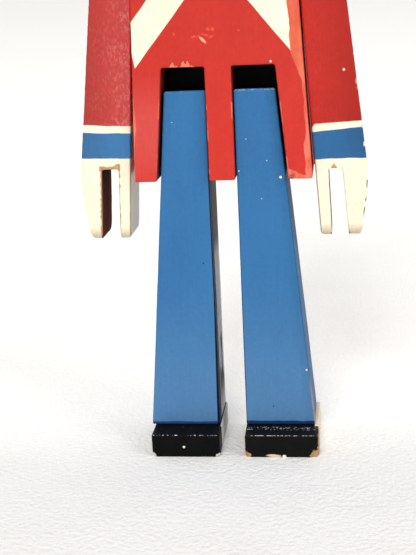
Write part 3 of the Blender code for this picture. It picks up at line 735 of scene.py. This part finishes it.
def trouser_paint(name, word):
    """Leg blue. The left leg has a rubbed outer edge; the right leg's inner side shows streaked primer."""
    p = Paint(name)
    look = TROUSER_LOOKS[word]
    blue = p.tone(LEG_BLUE, LEG_BLUE_DARK, p.noise(0.04, 4.0, (1.0, 1.0, 0.5)))
    # Painted sheen: paler low down
    blue = p.mix(p.times(p.below(p.z, SHEEN_LOW_Z, SHEEN_LOW_SOFT), SHEEN_LOW_SHARE), blue, BLUE_SHEEN_LOW)
    # Painted shade line along the ankle's edge
    line = p.below(p.z, p.plus(LEG_LOW.z + look["line_h"], p.wobble(0.2, 2.0, 0.25)), BRUSHED)
    colour = p.mix(line, blue, look["line"])
    colour = p.mix(p.dust(LEG_DUST), colour, CREAM)
    colour = p.mix(p.dust(LEG_SPECKS), colour, BLACK)
    colour = p.mix(p.flecks(0.25, 1.02), colour, BLUE_PALE)
    # Painted glint along the top front edge
    rim_glint = p.both(
        p.above(p.z, LEG_HIGH.z - RIM_W, CUT),
        p.below(p.y, LEG_LOW.y + RIM_W, CUT),
        p.above(p.noise(0.9, 3.0), look["rim_level"], 0.3),
    )
    colour = p.mix(p.times(rim_glint, look["rim_share"]), colour, BLUE_PALE)
    bare = p.rubbed(0.7, RUBS_SOMEWHAT, 0.10, 0.75)
    if word == "left":
        edge = p.plus(LEG_TOP_OUT, p.times(p.minus(LEG_HIGH.z, p.z), LEG_FLARE))
        from_edge = p.minus(edge, p.x)
        # Painted shade towards the outer edge and on the outer side
        shade = p.plus(
            p.below(from_edge, OUTER_SHADE_W, OUTER_SHADE_W),
            p.times(p.below(from_edge, OUTER_W, OUTER_SOFT), SIDE_SHADE),
        )
        colour = p.lit(colour, p.minus(1.0, p.times(shade, OUTER_SHADE)))
        wave = p.wobble(0.12, 3.0, 0.25)
        rubbed = p.both(
            p.below(from_edge, p.plus(OUTER_W, wave), BRUSHED),
            p.below(p.z, OUTER_RUB_Z, OUTER_RUB_SOFT),
            p.below(p.plus(p.y, p.times(wave, 6.0)), LEG_LOW.y + OUTER_RUB_DEPTH, 1.0),
        )
        bare = p.either(bare, rubbed)
        inner = p.below(p.x, p.plus(LEG_INNER_X + INNER_LINE_W, wave), 0.15)
        inner = p.both(inner, p.below(p.z, BELOW_SKIRT_Z, 4.0))
        colour = p.mix(p.times(inner, INNER_LINE_SHARE), colour, NAVY)
    else:
        out = p.times(p.x, -1.0)
        wider = p.times(p.ramp(p.z, INNER_NARROW_Z, INNER_WIDE_Z), INNER_WIDER_W)
        inner = p.below(out, p.plus(LEG_INNER_X + INNER_W, wider), 0.15)
        colour = p.mix(p.both(inner, p.below(p.z, BELOW_SKIRT_Z, 1.0)), colour, NAVY_DEEP)
        back = p.both(
            p.below(out, LEG_INNER_X + INNER_W, CUT),
            p.above(p.y, p.plus(LEG_LOW.y + PRIMER_Y, p.wobble(0.08, 3.0, 0.8)), WORN),
            p.below(p.z, PRIMER_TOP_Z, PRIMER_TOP_SOFT),
        )
        streak = p.both(
            p.above(p.noise(0.5, 3.0, (1.0, 0.28, 0.09)), 0.0, 0.06),
            p.within(p.z, STREAK_LOW_Z, STREAK_HIGH_Z, STREAK_Z_SOFT),
            p.within(p.y, LEG_LOW.y + STREAK_NEAR_Y, LEG_LOW.y + STREAK_FAR_Y, STREAK_Y_SOFT),
        )
        # Painted shade on the primer high up, under the coat
        shaded_primer = p.mix(p.above(p.z, SHADE_HIGH_Z, SHADE_HIGH_SOFT), PRIMER_CLEAN, PAINTED_SHADE_GREY)
        colour = p.mix(back, colour, p.mix(streak, shaded_primer, BLACK))
    # Painted shade on the top face behind the front edge
    top = p.both(
        p.above(p.z, LEG_HIGH.z - TOP_H, BRUSHED),
        p.above(p.y, LEG_LOW.y + TOP_BEHIND, TOP_BEHIND_SOFT),
    )
    under = p.mix(p.above(p.noise(0.3, 2.0), 0.35, 0.4), PRIMER_GREY, PRIMER_BROWN)
    return p.coat(p.mix(top, colour, SHADE_BLACK), bare, under, 0.52, sheen=0.06)


# Shoes: painted glints along the toe's edge and on the ledge in front of the leg, and sides left unpainted
# behind the toe
TOE_RIM_W, TOE_RIM_SOFT, TOE_RIM_SHARE = 0.32, 0.08, 0.8
LEDGE_NEAR, LEDGE_FAR, LEDGE_SOFT, LEDGE_H = 1.8, 4.6, 0.8, 0.4
SHOE_PAINTED = 9.0
SHOE_FRONT = 0.5
SHOE_SIDE_W, SHOE_LINE_W, SHOE_LINE_SHARE = 0.45, 0.25, 0.7
SHOE_CHIP_LOW = (16.7, 0.7, 2.7, 0.75, -4.0)
LEG_SIDE_W = 0.3

# Looks of the two shoes. worn lists bare corners, each a place and a radius
SHOE_LOOKS = {
    "left": {
        "wear": 0.55, "glint_level": 0.35, "glint_share": 0.80, "rim_level": 0.0, "dent": 0.7,
        "worn": (
            ((SHOE_LOW.x + 0.4, SHOE_LOW.y, 0.6), 2.0),
            ((SHOE_HIGH.x - 0.7, SHOE_LOW.y, 0.6), 2.9),
            ((SHOE_HIGH.x + 0.4, SHOE_LOW.y, 4.2), 1.3),
        ),
    },
    "right": {
        "wear": 0.15, "glint_level": 0.69, "glint_share": 0.30, "rim_level": 0.3, "dent": 0.5,
        "worn": (
            ((RIGHT_SHOE_LOW.x, SHOE_LOW.y, 0.2), 1.7),
            ((RIGHT_SHOE_HIGH.x, SHOE_LOW.y, 0.2), 1.6),
        ),
    },
}


def shoe_paint(name, word):
    """Black with rubbed edges, painted glints along the toe's edge and on the ledge, and bare corners."""
    p = Paint(name)
    look = SHOE_LOOKS[word]
    toe = SHOE_LOW.y
    colour = p.tone(SHOE_BLACK, SHOE_BLACK_WORN, p.noise(0.2, 4.0), 0.4, look["wear"])
    # Painted glints on the ledge in front of the leg and along the toe's edge
    ledge_glints = p.both(
        p.above(p.noise(1.4, 2.0, (0.8, 1.0, 1.0)), look["glint_level"], 0.1),
        p.within(p.y, LEG_LOW.y - LEDGE_FAR, LEG_LOW.y - LEDGE_NEAR, LEDGE_SOFT),
        p.above(p.z, SHOE_HIGH.z - LEDGE_H, BRUSHED),
    )
    rim_glint = p.both(
        p.above(p.z, SHOE_HIGH.z - TOE_RIM_W, TOE_RIM_SOFT),
        p.below(p.y, toe + TOE_RIM_W, TOE_RIM_SOFT),
        p.above(p.noise(1.3, 3.0), look["rim_level"], 0.25),
    )
    glints = p.either(p.times(ledge_glints, look["glint_share"]), p.times(rim_glint, TOE_RIM_SHARE))
    colour = p.mix(glints, colour, GLINT)
    colour = p.mix(p.dust(SHOE_DUST), colour, CREAM)
    bare = p.rubbed(0.6, RUBS_LITTLE, 0.2, 0.8)
    for place, radius in look["worn"]:
        bare = p.either(bare, p.spot(place, radius, 0.25, 0.8))
    ragged = p.wobble(0.4, 3.0, 0.25)
    unpainted = p.above(p.plus(p.y, p.times(ragged, 3.0)), toe + SHOE_PAINTED, 0.5)
    if word == "left":
        front = p.below(p.y, toe + SHOE_FRONT, BRUSHED)
        outer = p.above(p.x, p.plus(SHOE_HIGH.x - SHOE_SIDE_W, ragged), 0.15)
        chip = p.both(p.dash(*SHOE_CHIP_LOW), front)
        line = p.both(p.below(p.x, p.plus(SHOE_LOW.x + SHOE_LINE_W, ragged), 0.12), front)
        bare = p.either(bare, outer, chip, p.times(line, SHOE_LINE_SHARE))
        under = p.mix(chip, p.wood(SHOE_WOOD_LIGHT, SHOE_WOOD_DARK), SHOE_CHIP_PALE)
        pale = p.both(unpainted, p.above(p.x, LEG_HIGH.x - LEG_SIDE_W, CUT))
        ground = p.wood(PALE_WOOD, PALE_WOOD_DARK)
    else:
        under = p.tone(SHOE_CHIP, PRIMER, p.noise(0.8, 3.0))
        pale = p.both(unpainted, p.above(p.x, RIGHT_SHOE_HIGH.x - SHOE_SIDE_W, CUT))
        ground = PRIMER
    bare = p.either(bare, pale)
    return p.coat(colour, bare, p.mix(pale, under, ground), 0.45, stroke=0.6, thick=0.22, sheen=0.04)


def plain_wood(name):
    """Bare turned wood with darker scuffs."""
    p = Paint(name)
    scuffed = p.above(p.noise(0.3, 3.0), 0.6, 0.2)
    return p.coat(p.wood(DOWEL_LIGHT, DOWEL_DARK), scuffed, p.wood(), 0.62, stroke=0.8)


def black_paint(name, bands):
    """Hat black with painted bands, each a height range and a colour."""
    p = Paint(name)
    level = p.plus(p.z, p.wobble(0.14, 3.0, 0.25))
    colour = p.tone(BLACK, BLACK_WORN, p.noise(0.12, 4.0), 0.4, 0.3)
    for low, high, shade in bands:
        colour = p.mix(p.within(level, low, high, BRUSHED), colour, shade)
    return p.coat(colour, p.rubbed(0.7, RUBS_LITTLE, 0.12, 0.66), p.wood(), 0.34, gloss=0.25)


# Face of the turned head: distances round the head from its front, and heights from the face's middle
FACE_LIFT = 2.0
FACE_Z = 0.5 * (HEAD_LOW.z + HEAD_HIGH.z) + FACE_LIFT
CHEEK_AT, CHEEK_SIZE, CHEEK_SOFT, CHEEK_SHARE = (10.4, -4.2), (4.0, 3.4), 0.5, 0.75
EYE_WHITE_AT, EYE_WHITE_SIZE = (6.0, 3.2), (1.9, 2.5)
EYE_AT, EYE_SIZE = (5.9, 2.9), (1.25, 1.75)
EYE_GLINT_AT, EYE_GLINT_SIZE = (5.4, 3.6), (0.42, 0.5)
BROW_MID, BROW_Z, BROW_CURVE, BROW_HALF_H = 6.2, 7.4, -0.09, 0.5
BROW_IN, BROW_OUT = 3.4, 9.2
MOUTH_Z, MOUTH_CURVE, MOUTH_HALF_H, MOUTH_HALF_W = -9.2, 0.055, 0.65, 3.9
HAIR_FROM, HAIR_OVER_CHIN, HAIR_WAVE, HAIR_WAVE_RATE = 19.5, 12.0, 0.7, 1.1


def face_paint():
    """Plain painted face on the turned head: dot eyes, brows, a small mouth, cheeks and hair."""
    p = Paint("face_paint")
    along = p.times(p.math("ARCTAN2", p.x, p.minus(MID_Y, p.y)), HEAD_HIGH.x)
    across = p.size(along)

    def oval(at, half, soft=0.12):
        u = p.math("DIVIDE", p.minus(across, at[0]), half[0])
        v = p.math("DIVIDE", p.minus(p.z, FACE_Z + at[1]), half[1])
        return p.below(p.length(u, v), 1.0, soft)

    skin = p.tone(SKIN, SKIN_DARK, p.noise(0.1, 3.0), 0.4, 0.4)
    colour = p.mix(p.times(oval(CHEEK_AT, CHEEK_SIZE, CHEEK_SOFT), CHEEK_SHARE), skin, CHEEK)
    colour = p.mix(oval(EYE_WHITE_AT, EYE_WHITE_SIZE), colour, EYE_WHITE)
    colour = p.mix(oval(EYE_AT, EYE_SIZE), colour, EYE_DARK)
    colour = p.mix(oval(EYE_GLINT_AT, EYE_GLINT_SIZE), colour, EYE_WHITE)
    off = p.minus(across, BROW_MID)
    brow_line = p.plus(FACE_Z + BROW_Z, p.times(p.times(off, off), BROW_CURVE))
    brow = p.below(p.size(p.minus(p.z, brow_line)), BROW_HALF_H, 0.15)
    colour = p.mix(p.both(brow, p.within(across, BROW_IN, BROW_OUT, WORN)), colour, HAIR)
    smile = p.plus(FACE_Z + MOUTH_Z, p.times(p.times(along, along), MOUTH_CURVE))
    mouth = p.below(p.size(p.minus(p.z, smile)), MOUTH_HALF_H, 0.15)
    colour = p.mix(p.both(mouth, p.below(across, MOUTH_HALF_W, WORN)), colour, LIPS)
    wave = p.times(p.math("SINE", p.times(p.z, HAIR_WAVE_RATE)), HAIR_WAVE)
    hair = p.above(across, p.plus(HAIR_FROM, wave), WORN)
    colour = p.mix(p.both(hair, p.above(p.z, HEAD_LOW.z + HAIR_OVER_CHIN, 0.4)), colour, HAIR)
    return p.coat(colour, p.rubbed(0.6, RUBS_LITTLE, 0.12, 0.7), p.wood(), 0.40, gloss=0.2)


# Shares of red, green and blue in the darker patches of a plain colour
DARKER = (0.9, 0.86, 0.86)


def one_paint(name, rgb, rough, gloss=0.2):
    """One worn colour with patches a little darker."""
    p = Paint(name)
    darker = tuple(int(value * share) for value, share in zip(rgb, DARKER))
    colour = p.tone(rgb, darker, p.noise(0.15, 4.0))
    return p.coat(colour, p.rubbed(0.5, RUBS_LITTLE, 0.2, 0.7), p.wood(), rough, gloss)


def steel(name):
    """Plain steel with a fine grain."""
    p = Paint(name)
    grain = p.noise(1.4, 4.0)
    p.put(p.tone(STEEL_LIGHT, STEEL_DARK, grain), p.shader.inputs["Base Color"])
    p.shader.inputs["Metallic"].default_value = 1.0
    p.put(p.plus(0.34, p.times(grain, 0.08)), p.shader.inputs["Roughness"])
    p.bump(grain, 0.3, 0.05)
    return p.mat


# Hand-sanded surface: two waves in millimetres, the share of the short one, and how uneven a dent is
WAVE_LONG, WAVE_SHORT, WAVE_SHORT_SHARE = 24.0, 7.0, 0.4
DENT_LEAST, DENT_UNEVEN, DENT_GRAIN = 0.75, 0.5, 0.9

# Distance for welding corners in millimetres, and how far one smoothing pass moves a point
WELD = 0.002
SMOOTHING = 0.3


def weathered(node, body, material, voxel, wobble, dents=(), passes=1):
    """Visual copy of a CAD node with softened edges, a hand-sanded surface and real dents, in its place."""
    mesh = NODES[node].data.copy()
    bm = bmesh.new()
    bm.from_mesh(mesh)
    bmesh.ops.remove_doubles(bm, verts=bm.verts, dist=WELD * MM)
    bm.to_mesh(mesh)
    bm.free()
    piece = bpy.data.objects.new(node + "_board", mesh)
    bpy.context.scene.collection.objects.link(piece)
    remesh = piece.modifiers.new("even_mesh", "REMESH")
    remesh.mode = "VOXEL"
    remesh.voxel_size = voxel * MM
    bpy.context.view_layer.update()
    even = bpy.data.meshes.new_from_object(piece.evaluated_get(bpy.context.evaluated_depsgraph_get()))
    piece.modifiers.clear()
    piece.data = even
    bm = bmesh.new()
    bm.from_mesh(even)
    for _ in range(passes):
        bmesh.ops.smooth_vert(
            bm, verts=bm.verts, factor=SMOOTHING, use_axis_x=True, use_axis_y=True, use_axis_z=True
        )
    bm.normal_update()
    for vert in bm.verts:
        place = vert.co / MM
        lift = wobble * (noise.noise(place / WAVE_LONG) + WAVE_SHORT_SHARE * noise.noise(place / WAVE_SHORT))
        for centre, radius, depth in dents:
            off = (place - Vector(centre)).length / radius
            if off < 1.0:
                uneven = DENT_LEAST + DENT_UNEVEN * noise.noise(place * DENT_GRAIN)
                lift -= depth * (1.0 - off * off) * uneven
        vert.co += vert.normal * lift * MM
        vert.co.z = max(vert.co.z, 0.0)
    for face in bm.faces:
        face.smooth = True
    bm.to_mesh(even)
    bm.free()
    even.materials.clear()
    even.materials.append(material)
    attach(piece, body)
    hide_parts(node)


def dress(material, *nodes):
    """Give CAD nodes that keep their shape a material."""
    for node in nodes:
        mesh = NODES[node].data
        mesh.materials.clear()
        mesh.materials.append(material)


# How deep the paint of a broad face of the coat reaches round its edges
FACE_DEPTH = 1.0


def coat_front(p):
    return p.below(p.y, FRONT_Y + FACE_DEPTH, WORN)


def coat_rear(p):
    return p.above(p.y, BACK_HIGH.y - FACE_DEPTH, WORN)


# Looks of the two arms. Chips have a distance from the middle, a height, a half length and a half width
LEFT_CHIPS = (
    (54.3, 106.2, 1.6, 0.7),
    (53.8, 100.2, 1.0, 0.55),
    (53.1, 95.0, 2.3, 0.6),
    (49.5, 154.4, 0.6, 0.35),
    (50.5, 144.5, 1.3, 0.5),
    (50.8, 142.3, 0.9, 0.35),
    (52.3, 128.0, 0.6, 0.35),
    (53.0, 121.3, 0.9, 0.35),
)
LEFT_SCRATCH = ((50.2, 98.8, 1.2, 0.13, 30.0), (48.6, 96.6, 1.4, 0.1, 70.0))
ARM_LOOKS = {
    "left": {
        "side": 1.0, "cuff": LEFT_CUFF, "hand": LEFT_HAND, "chips": LEFT_CHIPS, "blue": CUFF_BLUE,
        "gloss": 0.0, "rough": 0.50, "painted_sheen": 0.05, "mouth": 0.70, "tear": 0.0,
        "notch_x": 41.7, "round": 1.7, "scratch": LEFT_SCRATCH,
    },
    "right": {
        "side": -1.0, "cuff": RIGHT_CUFF, "hand": RIGHT_HAND, "chips": (), "blue": BLUE,
        "gloss": 0.5, "rough": 0.36, "painted_sheen": 0.58, "mouth": 1.05, "tear": 1.4,
        "round": 0.0, "scratch": (),
    },
}

# Boards: size of the voxels, how far the surface waves, and the depth of dents under worn places
BOARD_VOXEL = 0.45
BROAD_WAVE, SLIM_WAVE = 0.10, 0.09
PEAK_DENT, PEAK_DENT_AT = 0.35, 0.4
CORNER_DENT, CORNER_DENT_R = 0.5, 1.4
ARM_CHIP_DENT = 0.45
SHOE_DENT_SHARE = 0.9

coat_dents = []
for x, half, height in COAT_PEAKS:
    coat_dents.append(((x, FRONT_Y, SLOT_TOP_Z + PEAK_DENT_AT * height), half, PEAK_DENT))
coat_dents.append((COAT_BARE, CORNER_DENT_R, CORNER_DENT))
coat = coat_paint("coat_paint", coat_front, True)
weathered("torso", "body", coat, BOARD_VOXEL, BROAD_WAVE, coat_dents)
for word, look in ARM_LOOKS.items():
    arm, leg = word + "_arm", word + "_leg"
    sleeve = sleeve_paint(word + "_sleeve_paint", look)
    dents = [((look["side"] * x, ARM_LOW.y, z), half, ARM_CHIP_DENT) for x, z, half, _ in look["chips"]]
    weathered(arm, arm, sleeve, BOARD_VOXEL, SLIM_WAVE, dents)
    trouser = trouser_paint(word + "_trouser_paint", word)
    weathered(leg, leg, trouser, BOARD_VOXEL, SLIM_WAVE)
for word, look in SHOE_LOOKS.items():
    black = shoe_paint(word + "_shoe_paint", word)
    dents = [(place, radius * SHOE_DENT_SHARE, look["dent"]) for place, radius in look["worn"]]
    weathered(word + "_shoe", word + "_leg", black, BOARD_VOXEL, BROAD_WAVE, dents)

# Turned pieces, with finer voxels where they are small, and the CAD nodes that keep their shape
HAT_BANDS = (
    (HAT_LOW.z + 1.0, HAT_LOW.z + 6.0, RED),
    (HAT_LOW.z + 6.0, HAT_LOW.z + 7.6, CREAM),
    (HAT_HIGH.z - 5.0, HAT_HIGH.z - 2.2, CREAM),
)
dress(coat_paint("coat_back_paint", coat_rear, False), "coat_back")
peg_paint = one_paint("peg_paint", SLEEVE, 0.45)
weathered("head", "body", face_paint(), 0.7, 0.06, passes=3)
weathered("nose", "body", one_paint("nose_paint", NOSE, 0.4), 0.3, 0.03, passes=3)
weathered("hat", "body", black_paint("hat_paint", HAT_BANDS), 0.8, 0.08, passes=3)
weathered("hat_peak", "body", black_paint("peak_paint", ()), 0.4, 0.05, passes=2)
for word in ARM_LOOKS:
    weathered(word + "_shoulder_peg", "body", peg_paint, 0.35, 0.04, passes=2)
# The hip dowel painted dark: painted shade where it shows in the slots
dress(one_paint("dowel_painted_shade", DOWEL_SHADE, 0.8, 0.0), "hip_dowel")
dress(plain_wood("dowel_wood"), "neck_dowel", "hat_dowel", "left_shoe_dowel", "right_shoe_dowel")
dress(steel("washer_steel_look"), "left_washer", "right_washer")


# Floor, light and camera. The floor glows a little for camera rays, more behind the figure and far from it.
# FLOOR_HALF is in metres, and the floor's other lengths are in millimetres
FLOOR_HALF = 60.0
FLOOR_CELLS = 8
FLOOR_LIFT_FRONT = 0.03
FLOOR_LIFT_BEHIND = 0.24
FLOOR_LIFT_FAR = 0.32
FLOOR_TURN = 45.0
FLOOR_NEAR = 300.0
FLOOR_FAR = 1500.0
SKY_LEVEL = 0.66
BACKGROUND_LEVEL = 0.95


def pale_cloth():
    """Pale felt. Rays from the camera see it a little lighter, and it keeps the shadow."""
    p = Paint("pale_cloth")
    weave = p.noise(0.5, 5.0)
    fold = p.noise(0.02, 3.0)
    cloth = p.tone(FELT, FELT_SHADE, p.plus(weave, fold), 0.2)
    p.put(cloth, p.shader.inputs["Base Color"])
    p.shader.inputs["Roughness"].default_value = 0.95
    p.shader.inputs["Specular IOR Level"].default_value = 0.1
    p.bump(p.plus(weave, p.times(fold, 2.0)), 0.6, 0.5)
    rays = p.add("ShaderNodeLightPath")
    seen = p.most(rays.outputs["Is Camera Ray"], rays.outputs["Is Glossy Ray"])
    seen = p.most(seen, rays.outputs["Is Transmission Ray"])
    p.put(cloth, p.shader.inputs["Emission Color"])
    reach = p.length(p.x, p.y)
    far = p.above(reach, 0.5 * (FLOOR_NEAR + FLOOR_FAR), 0.5 * (FLOOR_FAR - FLOOR_NEAR))
    near = p.blend(p.above(p.y, 0.0, FLOOR_TURN), FLOOR_LIFT_FRONT, FLOOR_LIFT_BEHIND)
    p.put(p.times(seen, p.blend(far, near, FLOOR_LIFT_FAR)), p.shader.inputs["Emission Strength"])
    return p.mat


bm = bmesh.new()
bmesh.ops.create_grid(bm, x_segments=FLOOR_CELLS, y_segments=FLOOR_CELLS, size=FLOOR_HALF)
floor_mesh = bpy.data.meshes.new("floor")
bm.to_mesh(floor_mesh)
bm.free()
floor = bpy.data.objects.new("floor", floor_mesh)
bpy.context.scene.collection.objects.link(floor)
floor_mesh.materials.append(pale_cloth())

world = bpy.data.worlds.new("studio")
world.use_nodes = True
tree = world.node_tree
sky = tree.nodes["Background"]
sky.inputs["Color"].default_value = (1.0, 1.0, 1.0, 1.0)
rays = tree.nodes.new("ShaderNodeLightPath")
seen = rays.outputs["Is Camera Ray"]
for kind in ("Is Transmission Ray", "Is Glossy Ray"):
    most = tree.nodes.new("ShaderNodeMath")
    most.operation = "MAXIMUM"
    tree.links.new(seen, most.inputs[0])
    tree.links.new(rays.outputs[kind], most.inputs[1])
    seen = most.outputs[0]
strength = tree.nodes.new("ShaderNodeMapRange")
tree.links.new(seen, strength.inputs["Value"])
strength.inputs["To Min"].default_value = SKY_LEVEL
strength.inputs["To Max"].default_value = BACKGROUND_LEVEL
tree.links.new(strength.outputs[0], sky.inputs["Strength"])
bpy.context.scene.world = world

LIGHT_AIM = Vector((0.0, 0.0, 0.10))


def softbox(name, place, size, power):
    """Square area light that faces the figure. Place and size are in metres."""
    data = bpy.data.lights.new(name, "AREA")
    data.shape = "SQUARE"
    data.size = size
    data.energy = power
    lamp = bpy.data.objects.new(name, data)
    lamp.location = place
    lamp.rotation_euler = (LIGHT_AIM - Vector(place)).to_track_quat("-Z", "Y").to_euler()
    bpy.context.scene.collection.objects.link(lamp)


softbox("key", (-0.40, -3.00, 2.80), 1.1, 67.0)
softbox("fill", (2.40, -1.60, 1.80), 1.2, 22.0)

# Camera fitted to the photograph: depth lines, the lean of the figure and its size in the frame
PHOTO_H = 555
FOCAL_PX = 1100.0
CAM_YAW = math.radians(7.2)
CAM_PITCH = math.radians(15.8)
CAM_ROLL = math.radians(2.75)
CAM_DISTANCE = 423.5 * MM
CAM_TARGET = Vector((-7.1, FRONT_Y, 72.0)) * MM
SENSOR = 36.0
CLIP_START, CLIP_END = 0.01, 50.0

level = math.cos(CAM_PITCH)
aim = Vector((-math.sin(CAM_YAW) * level, math.cos(CAM_YAW) * level, -math.sin(CAM_PITCH)))
right = Vector((math.cos(CAM_YAW), math.sin(CAM_YAW), 0.0))
up = right.cross(aim)
image_right = right * math.cos(CAM_ROLL) - up * math.sin(CAM_ROLL)
image_up = right * math.sin(CAM_ROLL) + up * math.cos(CAM_ROLL)
lens = bpy.data.cameras.new("camera")
lens.sensor_fit = "VERTICAL"
lens.sensor_height = SENSOR
lens.lens = SENSOR * FOCAL_PX / PHOTO_H
lens.clip_start = CLIP_START
lens.clip_end = CLIP_END
camera = bpy.data.objects.new("camera", lens)
turn = Matrix((image_right, image_up, -aim)).transposed().to_4x4()
camera.matrix_world = Matrix.Translation(CAM_TARGET - aim * CAM_DISTANCE) @ turn
bpy.context.scene.collection.objects.link(camera)
bpy.context.scene.camera = camera

bpy.context.scene.view_settings.view_transform = "Standard"
